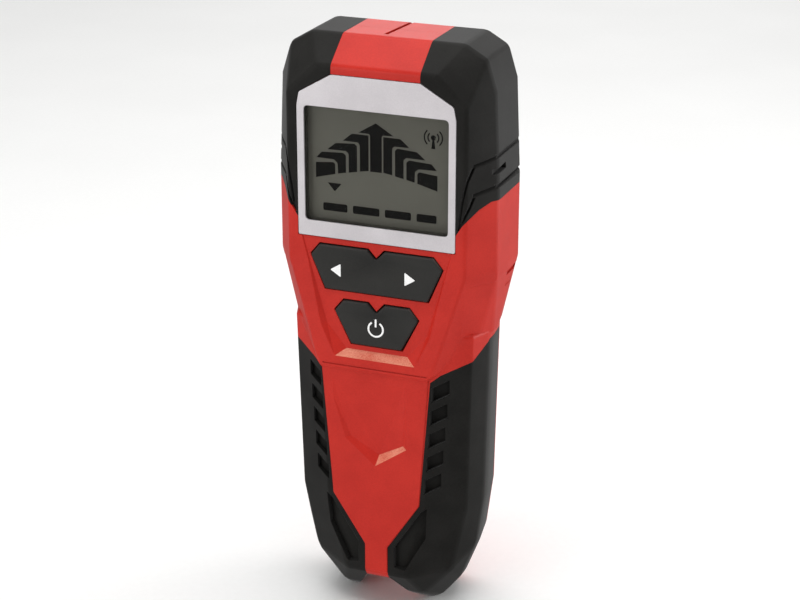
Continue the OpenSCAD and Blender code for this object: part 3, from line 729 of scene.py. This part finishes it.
# piece, body it rides on, nodes it replaces, slot, finish
pieces = [
    (frontShell, "housing", ["front_housing"], "red_abs", absRed),
    (rearShell, "housing", ["rear_housing"], "red_abs", absRed),
    (bumperLeft, "housing", ["head_bumper_left"], "black_rubber", tpeBlack),
    (bumperRight, "housing", ["head_bumper_right"], "black_rubber", tpeBlack),
    (gripLeft, "housing", ["grip_left"], "black_rubber", tpeBlack),
    (gripRight, "housing", ["grip_right"], "black_rubber", tpeBlack),
    (bezel, "housing", ["display_bezel"], "silver_paint", silverPaint),
    (lens, "housing", ["display_lens"], "clear_window", acrylic),
    (mask, "housing", [], "chip_plastic", maskGrey),
    (glass, "housing", ["lcd_glass"], "lcd", lcdCell),
    (segments, "housing", [], "lcd", lcdInk),
    (arrowKey, "arrow_key", ["arrow_key"], "key_plastic", keyAbs),
    (powerKey, "power_key", ["power_key"], "key_plastic", keyAbs),
    (arrowMarks, "arrow_key", [], "white_plastic", inkWhite),
    (powerMark, "power_key", [], "white_plastic", inkWhite),
    (doorPiece, "battery_door", ["battery_door"], "red_abs", absRed),
    (screwPiece, "housing", ["housing_screws"], "steel", zincSteel),
]
for obj, rider, replaced, slotName, made in pieces:
    paint(obj, made)
    shade(obj)
    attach(obj, rider)
    if replaced:
        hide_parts(*replaced)

# painted highlight: the upward ramps on the front shell take the pale material
frontShell.data.materials.append(rampHighlightRed)
for i in highlightRamps:
    frontShell.data.polygons[i].material_index = 1

finishes = {
    "red_abs": absRed, "black_rubber": tpeBlack, "silver_paint": silverPaint, "clear_window": acrylic,
    "lcd": lcdCell, "white_plastic": whitePc, "key_plastic": keyAbs, "contact_rubber": zebra,
    "circuit_board": fr4, "chip_plastic": epoxy, "switch_plastic": phenolic, "copper": copper,
    "ferrite": ferrite, "battery_shell": batteryCan, "snap_plastic": snapBlack, "red_insulation": pvcRed,
    "black_insulation": pvcBlack, "foam": foamBlack, "steel": zincSteel,
}
for part in frame["record"]["subparts"]:
    paint(nodes[part["node"]], finishes[part["material_slot"]])
print("pieces joined to the frame")

studio = {
    "floorSize": 6.0,
    "floorDrop": 0.0002,     # keeps the floor just under the part
    "world": 0.42,
    "topPower": 6.6,
    "backPower": 2.6,
    "leftPower": 3.6,
    "rightPower": 2.0,
}
floorMesh = bmesh.new()
bmesh.ops.create_grid(floorMesh, x_segments=4, y_segments=4, size=studio["floorSize"] / 2)
floor = pieceFrom("floor", floorMesh, 1.0)
floor.location.z = -studio["floorDrop"]
floorPaint = surface("mattWhitePaper", "#f4f4f3", "#f1f1f0", 2.0, 0.01, 0.8, edgeMm=0, blotchMm=80)
paint(floor, floorPaint)
# the white paper lights the part but isn't mirrored in it
floor.visible_glossy = False

world = bpy.data.worlds.new("studioAir")
world.use_nodes = True
world.node_tree.nodes["Background"].inputs["Color"].default_value = (1, 1, 1, 1)
world.node_tree.nodes["Background"].inputs["Strength"].default_value = studio["world"]
bpy.context.scene.world = world


def softbox(name, place, target, size, power):
    data = bpy.data.lights.new(name, "AREA")
    data.shape = "RECTANGLE"
    data.size, data.size_y = size
    data.energy = power
    lamp = bpy.data.objects.new(name, data)
    bpy.context.scene.collection.objects.link(lamp)
    lamp.location = place
    lamp.rotation_mode = "QUATERNION"
    lamp.rotation_quaternion = (Vector(target) - Vector(place)).to_track_quat("-Z", "Y")
    return lamp


middle = (0, 0, 0.09)
softbox("topBox", (0.0, 0.0, 0.9), (0, 0, 0), (0.8, 0.8), studio["topPower"])
softbox("backBox", (-0.25, 1.2, 0.62), middle, (0.8, 0.35), studio["backPower"])
softbox("leftBox", (-0.6, -0.95, 0.25), middle, (0.5, 0.5), studio["leftPower"])
softbox("rightBox", (0.5, 0.28, 0.10), (0, 0, 0.07), (0.3, 0.35), studio["rightPower"])

view = {
    "azimuth": 21.41,
    "elevation": 21.19,
    "distance": 0.5637,
    "lens": 91.1,
    "aim": (-0.0005, 0.0050, 0.0877),
}
azimuth, elevation = math.radians(view["azimuth"]), math.radians(view["elevation"])
back = Vector((math.sin(azimuth) * math.cos(elevation), -math.cos(azimuth) * math.cos(elevation),
               math.sin(elevation)))
lensData = bpy.data.cameras.new("camera")
lensData.lens = view["lens"]
lensData.sensor_width = 36.0
camera = bpy.data.objects.new("camera", lensData)
bpy.context.scene.collection.objects.link(camera)
camera.location = Vector(view["aim"]) + back * view["distance"]
camera.rotation_mode = "QUATERNION"
camera.rotation_quaternion = (-back).to_track_quat("-Z", "Y")
bpy.context.scene.camera = camera
bpy.context.scene.view_settings.view_transform = "Standard"
print("studio set")
